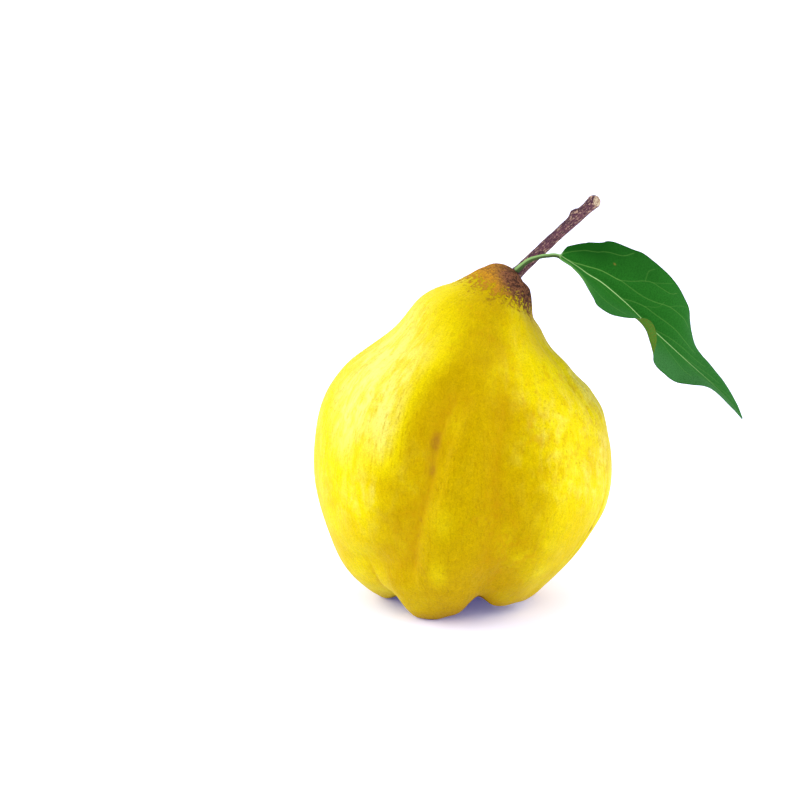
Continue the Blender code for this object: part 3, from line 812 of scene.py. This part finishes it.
VEIN_BRANCHES = (
    (0.4, ((0.24, 0.26), (0.36, 0.3), (0.52, 0.335), (0.6, 0.36), (0.64, 0.4), (0.72, 0.45),
     (0.84, 0.47))),
    (0.2, ((0.52, 0.48), (0.74, 0.515), (0.94, 0.55))),
    (0.2, ((0.18, 0.395), (0.34, 0.44), (0.5, 0.45))),
    (0.2, ((-0.62, 0.14), (-0.8, 0.18), (-0.93, 0.24))),
)
VEIN_SPREAD = 0.9  # millimetres over which a vein's strength fades to its sides
BROWN_SPOT = (0.44, 0.206)
BROWN_REACH = 0.26
PUFF_HEIGHT = 0.22  # of the blade between its veins
GROOVE_DEPTH = 0.1  # of a vein above
VEIN_RELIEF = 0.16  # of a vein below

leaf_curve = smooth_line([Vector(p) for p in LEAF_LINE], LEAF_STEPS)
leaf_reach = [0.0]
for a, b in zip(leaf_curve, leaf_curve[1:]):
    leaf_reach.append(leaf_reach[-1] + (b - a).length)
stalk_length = leaf_reach[STALK_END * LEAF_STEPS]
blade_length = leaf_reach[-1] - stalk_length
leaf_rows = smooth_line([Vector(row) for row in LEAF_ROWS], 16)


def on_leaf_line(reach):
    """The place and the direction of the stalk and midrib at a length along them."""
    for start, end, low, high in zip(leaf_curve, leaf_curve[1:], leaf_reach, leaf_reach[1:]):
        if reach <= high + 1e-6:
            break
    return start.lerp(end, (reach - low) / (high - low)), (end - start).normalized()


def leaf_row(share):
    """The blade's width and its fold angles at a share of its length."""
    for row, after in zip(leaf_rows, leaf_rows[1:]):
        if share <= after[0]:
            break
    found = row.lerp(after, (share - row[0]) / (after[0] - row[0]))
    return found[1] * LEAF_HALF_WIDTH, radians(found[2]), radians(found[3])


def on_blade(veins):
    """The veins laid out flat in millimetres, as (strength, points)."""
    lines = []
    for strength, line in veins:
        points = [Vector((u * leaf_row(share)[0], share * blade_length)) for u, share in line]
        lines.append((strength, smooth_line(points, 3)))
    return lines


side_veins = on_blade(SIDE_VEINS)
vein_branches = on_blade(VEIN_BRANCHES)
brown_at = on_blade([(1.0, (BROWN_SPOT, BROWN_SPOT))])[0][1][0]


def nearest_vein(place, lines):
    """The distance to the nearest vein, signed by the side it is on, and its strength there."""
    found, strength = 99.0, 0.0
    for power, line in lines:
        for a, b in zip(line, line[1:]):
            if min(a.y, b.y) - 6 < place.y < max(a.y, b.y) + 6:
                run = b - a
                t = min(max((place - a).dot(run) / run.length_squared, 0.0), 1.0)
                off = place - a - run * t
                if off.length < abs(found):
                    found = copysign(off.length, run.x * off.y - run.y * off.x)
                    strength = power
    return found, strength * exp(-((found / VEIN_SPREAD) ** 2))


leaf_stations = {}


def leaf_station(ring):
    """What a whole ring shares: its centre, its cross directions, and where it is on the leaf."""
    if ring not in leaf_stations:
        stalk = min(ring / STALK_RINGS, 1.0)
        share = max((ring - STALK_RINGS) / (LEAF_RINGS - STALK_RINGS), 0.0)
        reach = stalk * stalk_length + share * blade_length
        centre, along = on_leaf_line(reach)
        rise = along.cross(Vector((0, 1, 0))).normalized()
        back = rise.cross(along).normalized()
        leaf_stations[ring] = (centre, back, rise, stalk, share, leaf_row(share))
    return leaf_stations[ring]


def leaf_point(along, around):
    """The upper face from the far margin to the near one, and back along the lower face."""
    ring = round(along * LEAF_RINGS)
    centre, back, rise, stalk, share, (width, far, near) = leaf_station(ring)
    top = around < 0.5
    u = 1 - 4 * around if top else 4 * around - 3
    face = 1.0 if top else -1.0
    girth = step_through(STALK_GIRTHS, stalk)
    round_place = centre + (back * u + rise * face * sqrt(max(1 - u * u, 0.0))) * girth
    spread = blend(0.0, JOINT, share) if ring > STALK_RINGS else 0.0

    flat = Vector((u * width, share * blade_length))
    vein_side, vein = nearest_vein(flat, side_veins)
    branch_side, branch = nearest_vein(flat, vein_branches)
    groove = max(vein, branch)
    rib = exp(-((flat.x / (0.55 - 0.25 * share)) ** 2))

    def sloped(angle):
        return back * cos(angle) + rise * sin(angle)

    tilt = far if u > 0 else near
    place = centre + sloped(tilt) * width * u
    curl = exp(-(((share - CURL_PLACE) / CURL_REACH) ** 4)) * blend(CURL_START, 1.0, -u)
    if curl > 0:
        fold = centre - sloped(tilt) * width * CURL_START
        tilt -= (near + CURL_ANGLE) * curl
        place = fold - sloped(tilt) * (width * (-u - CURL_START))
    tilt *= blend(0.0, 0.15, abs(u))
    up = rise * cos(tilt) - back * sin(tilt)

    off = min(abs(vein_side), abs(branch_side), abs(flat.x))
    puff = PUFF_HEIGHT * (1 - exp(-((off / 2.2) ** 2))) * (1 - abs(u) ** 4)
    wave = sin(share * 31 + (1.3 if u > 0 else 0.0)) * sin(pi * share)
    sway = LEAF_SWAY * u * u * wave
    camber = LEAF_CAMBER * (1.0 if u > 0 else 0.1)
    place += rise * (camber * width * 4 * abs(u) * (1 - abs(u)) + puff + sway)
    half = LEAF_THICKNESS / 2 * (1 - u**8) * (1 - 0.4 * share)
    if top:
        place += up * (half - GROOVE_DEPTH * groove + 0.1 * rib * (1 - share))
    else:
        place -= up * (half + VEIN_RELIEF * groove + RIB_DEPTH * rib * (1 - share))
    place = round_place.lerp(place, spread)
    if ring in (0, LEAF_RINGS):
        place = centre
    known = {
        "blade": Vector((flat.x, flat.y, 0.0)) * MM,
        "vein_side": vein_side, "vein": vein * spread,
        "branch_side": branch_side, "branch": branch * spread,
        "across": u, "share": share, "stalk": 1 - spread, "under": 0.0 if top else 1.0,
        "spot": exp(-(((flat - brown_at).length / BROWN_REACH) ** 2)) * spread,
        "sky_side": face * sqrt(max(1 - u * u, 0.0)),
    }
    return twig_root + place * MM, known


BLADE_GREEN = (0.014, 0.118, 0.009)
BLADE_DEEP = (0.003, 0.052, 0.002)
BLADE_PALE = (0.038, 0.142, 0.036)
VEIN_GREEN = (0.105, 0.26, 0.045)
RIB_GREEN = (0.36, 0.55, 0.2)
# The stalk's greens for painted shade and painted highlight
STALK_SHADE_OLIVE = (0.06, 0.1, 0.03)
STALK_HIGHLIGHT_GREEN = (0.22, 0.38, 0.12)
UNDER_GREEN = (0.06, 0.18, 0.02)
UNDER_OCHRE = (0.125, 0.125, 0.014)
LEAF_BROWN = (0.3, 0.15, 0.03)


def make_leaf_green():
    """A leaf's skin: deep green above with pale veins, more yellow with ochre stipples below."""
    green, look, shader = new_look("quince_leaf", {"Specular IOR Level": 0.02})
    blade = attribute(look, "blade", "Vector")
    values = ("across", "share", "under", "stalk")
    across, share, under, stalk = [attribute(look, name) for name in values]
    off_rib = abs(blade.part("X")) / MM

    def line_of(name, thickness):
        """A thin line where the signed distance passes through nothing."""
        off = abs(attribute(look, name + "_side"))
        return (1 - off.rise(thickness * 0.3, thickness)) * attribute(look, name)

    clouds = blade.grain(90, 3)
    stipple = blade.grain(2300, 2, 0.6)
    speckle = blade.grain(1400, 3, 0.8)
    deep = across.rise(-0.1, 0.75) * (1 - share.rise(0.05, 0.55)) + (clouds - 0.5) * 0.9
    pale = share.rise(0.2, 1) * 0.6 + (1 - across.rise(-0.8, 0)) * 0.45 + (clouds - 0.5) * 0.5
    below = (stipple.rise(0.45, 0.62) * 0.75).tint(UNDER_GREEN, UNDER_OCHRE)
    margin = (0 - across).rise(0.55, 1) * (1 - share.rise(0.06, 0.2)) * (1 - under)
    rib = (1 - (off_rib + share * 0.2).rise(0.08, 0.36)) * (1 - share.rise(0.55, 1) * 0.8)
    # Painted highlight along the stalk's upper side, painted shade below
    stalk_highlight = attribute(look, "sky_side").rise(-0.2, 0.9)
    stalk_highlight = (stalk_highlight + (stipple - 0.5) * 0.5).rise(0.1, 0.9)
    colour = (deep.rise(0.1, 1) * 0.9).tint(BLADE_GREEN, BLADE_DEEP).coated(
        (pale.rise(0.1, 1) * 0.8, BLADE_PALE),
        (stipple.rise(0.42, 0.66) * 0.45, BLADE_DEEP),
        (abs(across).rise(0.955, 0.99) * 0.6, BLADE_DEEP),
        (under, below),
        (line_of("vein", 0.24) * 0.75, VEIN_GREEN),
        (line_of("branch", 0.2) * 0.75, VEIN_GREEN),
        (margin * 0.7, VEIN_GREEN),
        (rib * (0.55 + share.rise(0.03, 0.2) * 0.4), RIB_GREEN),
        (stalk, stalk_highlight.tint(STALK_SHADE_OLIVE, STALK_HIGHLIGHT_GREEN)),
        (attribute(look, "spot") * 0.7, LEAF_BROWN),
    )
    colour = colour.shaded(0.78 + speckle * 0.44)
    finish(look, shader, colour, 0.55 + stipple * 0.1 + under * 0.15, [
        (blade.grain(260, 2), 0.08 * MM),
        (stipple, 0.03 * MM),
    ])
    return green


leaf = show("quince_leaf", wrap(LEAF_SIDES, LEAF_RINGS, leaf_point), make_leaf_green())
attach(leaf, "root")
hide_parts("leaf")

# ---- The dried calyx ----
# What is left of the flower in the basin under the fruit: five brown, crumpled sepals round a tuft
# of dried stamens, all grown on the basin's floor.

SEPAL_COUNT = 5
SEPAL_HALF_WIDTH = 1.6
SEPAL_THICKNESS = 0.4
SEPAL_RING = 3.0  # from the calyx's middle to the sepals' roots
SEPAL_STEPS = 6
SEPAL_CURL = 0.45
# Along a sepal from its root: millimetres outwards, millimetres down, share of the half width
SEPAL_LINE = (
    (0, 0.3, 0.6), (0.1, 1.8, 0.95), (0.4, 3.1, 1), (1.1, 4.3, 0.85), (2.1, 5, 0.6),
    (3.1, 4.8, 0.3), (3.6, 4.2, 0.08),
)
FILAMENTS = 19
GOLDEN_TURN = radians(137.5)  # from one stamen to the next
FILAMENT_RADIUS = 0.13
ANTHER_RADIUS = 0.3
TUFT_RADIUS = 1.35
CUSHION_DEPTH = 0.9

calyx_root = Vector((fruit_foot.x, fruit_foot.y, tuft_high.z + GAP))


def sepal_maker(number):
    """One sepal's shape: a cupped strip, crumpled as it dried."""
    turn = Matrix.Rotation(tau * number / SEPAL_COUNT, 3, UP)
    rows = [Vector((0.0, -SEPAL_RING - out, -down, share)) for out, down, share in SEPAL_LINE]
    line = smooth_line(rows, SEPAL_STEPS)
    last = len(line) - 1

    def point(along, around):
        spot = min(int(along * last), last - 1)
        t = along * last - spot
        row = line[spot].lerp(line[spot + 1], t)
        centre, half = row.xyz, row.w * SEPAL_HALF_WIDTH
        face = (line[spot + 1] - line[spot]).xyz.normalized().cross(Vector((1, 0, 0)))
        top = around < 0.5
        u = 1 - 4 * around if top else 4 * around - 3
        place = centre + Vector((half * u, 0, 0)) + face * SEPAL_CURL * u * u * half
        seed = Vector((u * 1.3, along * 4.0, number * 7.0))
        crumple = 0.38 * noise.noise(seed * 1.6) + 0.16 * noise.noise(seed * 4.5)
        place += face * crumple * blend(0.0, 0.35, along)
        place.x += 0.25 * noise.noise(seed * 2.3) * along
        body = SEPAL_THICKNESS / 2 * (1 - u**6) * (1.2 - 0.7 * along)
        place += face * (body if top else -body)
        if along in (0.0, 1.0):
            place = centre
        dried = Vector((u * half, along * 8.0, number * 5.0)) * MM
        return calyx_root + turn @ place * MM, {"dried": dried, "edge": abs(u) * 0.6 + along * 0.4}

    return point


DRY_BROWN = (0.165, 0.072, 0.02)
DRY_DARK = (0.04, 0.017, 0.006)
DRY_TAN = (0.42, 0.235, 0.08)


def make_dry():
    """Dead brown tissue: dark in cloudy patches, tan and papery along its edges."""
    dry, look, shader = new_look("dried_calyx", {"Specular IOR Level": 0.2})
    dried = attribute(look, "dried", "Vector")
    edge = attribute(look, "edge")
    ribs = dried.scaled(1, 0.22, 1).grain(2600, 2)
    clouds = dried.grain(700, 3)
    colour = clouds.rise(0.35, 0.65).tint(DRY_DARK, DRY_BROWN).coated(
        (edge.rise(0.4, 1) * clouds.rise(0.3, 0.6), DRY_TAN),
        (ribs.rise(0.55, 0.75) * 0.5, DRY_TAN),
    )
    finish(look, shader, colour, 0.78 + clouds * 0.1, [(ribs, 0.12 * MM), (clouds, 0.1 * MM)])
    return dry


dry_tissue = make_dry()
for number in range(SEPAL_COUNT):
    sepal = show(f"dried_sepal_{number + 1}", wrap(40, 48, sepal_maker(number)), dry_tissue)
    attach(sepal, "root")
    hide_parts(f"sepal_{number + 1}")

tuft_root = Vector((calyx_root.x, calyx_root.y, tuft_high.z))


def filament_maker(number):
    """One stamen: a bent thread from the tuft's foot with a shrunken anther on its end."""
    lot = random.Random(100 + number)
    turn = number * GOLDEN_TURN
    start = TUFT_RADIUS * sqrt((number + 0.5) / FILAMENTS)
    splay = start * lot.uniform(1.15, 1.45)
    length = (tuft_high.z - tuft_low.z) / MM * lot.uniform(0.72, 0.97)
    swing = Vector((lot.uniform(-0.35, 0.35), lot.uniform(-0.35, 0.35), 0.0))
    side = Vector((cos(turn), sin(turn), 0.0))

    def point(along, around):
        centre = side * (start + (splay - start) * along) - UP * length * along
        centre += swing * sin(pi * along)
        anther = exp(-(((along - 0.9) / 0.085) ** 4))
        radius = FILAMENT_RADIUS * (1.5 - 0.7 * along) + ANTHER_RADIUS * anther
        angle = tau * around
        shrunk = Vector((cos(angle) * 0.6, sin(angle) * 0.6 + along * 9, number))
        radius *= 1 + 0.25 * noise.noise(shrunk)
        out = Vector((cos(angle), sin(angle) * (1 - 0.35 * anther), 0.0))
        if along in (0.0, 1.0):
            radius = 0.0
        known = {"dried": Vector((around, along * 4.0, number)) * MM, "edge": anther * 0.9}
        return tuft_root + (centre + out * radius) * MM, known

    return point


def tuft_disc(along, around):
    """The dried cushion on which the stamens stand."""
    angle = tau * around
    radius = (TUFT_RADIUS + 0.25) * sin(pi * along)
    down = CUSHION_DEPTH / 2 * (cos(pi * along) - 1)
    place = Vector((cos(angle) * radius, sin(angle) * radius, down))
    place.z += 0.08 * noise.noise(place * 2.4) * sin(pi * along)
    return tuft_root + place * MM, {"dried": place * MM, "edge": 0.2}


tuft_bm = wrap(32, 12, tuft_disc)
for number in range(FILAMENTS):
    stamen = wrap(10, 22, filament_maker(number))
    kept = bpy.data.meshes.new("one_stamen")
    stamen.to_mesh(kept)
    stamen.free()
    tuft_bm.from_mesh(kept)
    bpy.data.meshes.remove(kept)
tuft = show("dried_stamens", tuft_bm, dry_tissue)
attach(tuft, "root")
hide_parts("stamen_tuft")

# ---- The floor, the light and the camera ----
# A plain pale floor without a far edge, white light from all round, a soft light from each side and
# a weak one from the front, and a long lens a little above the fruit's shoulder.

FLOOR_SIZE = 30.0
floor_bm = bmesh.new()
bmesh.ops.create_grid(floor_bm, x_segments=1, y_segments=1, size=FLOOR_SIZE)
matt_white = {
    "Base Color": (0.93, 0.945, 1.0, 1.0),
    "Roughness": 0.9,
    "Specular IOR Level": 0.0,
    "Emission Color": (0.12, 0.15, 1.0, 1.0),
    "Emission Strength": 0.18,
}
floor_finish = new_look("pale_floor", matt_white)[0]
floor = show("floor", floor_bm, floor_finish)

ROOM_WHITE = (0.96, 0.97, 1.12, 1.0)
ROOM_LIGHT = 0.98  # what the room sheds on the fruit
ROOM_SEEN = 1.06  # and how bright it is to look at
world = bpy.data.worlds.new("white_room")
bpy.context.scene.world = world
world.use_nodes = True
room = Look(world.node_tree)
backdrop = room.tree.nodes["Background"].inputs
backdrop["Color"].default_value = ROOM_WHITE
seen = room.node("LightPath", None, None, "Is Camera Ray")
strength = room.node("MapRange", None, {"Value": seen, "To Min": ROOM_LIGHT, "To Max": ROOM_SEEN})
room.tree.links.new(strength.socket, backdrop["Strength"])


def soft_sun(name, heading, height, power, spread):
    """Even light from far away: its heading from the front and its height, in degrees."""
    lamp = bpy.data.lights.new(name, "SUN")
    lamp.energy = power
    lamp.angle = radians(spread)
    stand = bpy.data.objects.new(name, lamp)
    stand.rotation_euler = (radians(90 - height), 0, radians(heading))
    bpy.context.scene.collection.objects.link(stand)


soft_sun("left_light", -97, 28, 2.1, 50)
soft_sun("right_light", 97, 25, 1.9, 50)
soft_sun("front_light", 0, 34, 0.50, 60)

CAMERA_TILT = radians(13)
CAMERA_AIM = Vector((fruit_foot.x - 18 * MM, fruit_foot.y, 62 * MM))
CAMERA_DISTANCE = 0.6667
lens = bpy.data.cameras.new("camera")
lens.lens = 100
lens.sensor_width = 36
camera = bpy.data.objects.new("camera", lens)
back_up = Vector((0, -cos(CAMERA_TILT), sin(CAMERA_TILT)))
camera.location = CAMERA_AIM + CAMERA_DISTANCE * back_up
camera.rotation_euler = (pi / 2 - CAMERA_TILT, 0, 0)
bpy.context.scene.collection.objects.link(camera)
bpy.context.scene.camera = camera
bpy.context.scene.view_settings.view_transform = "Standard"
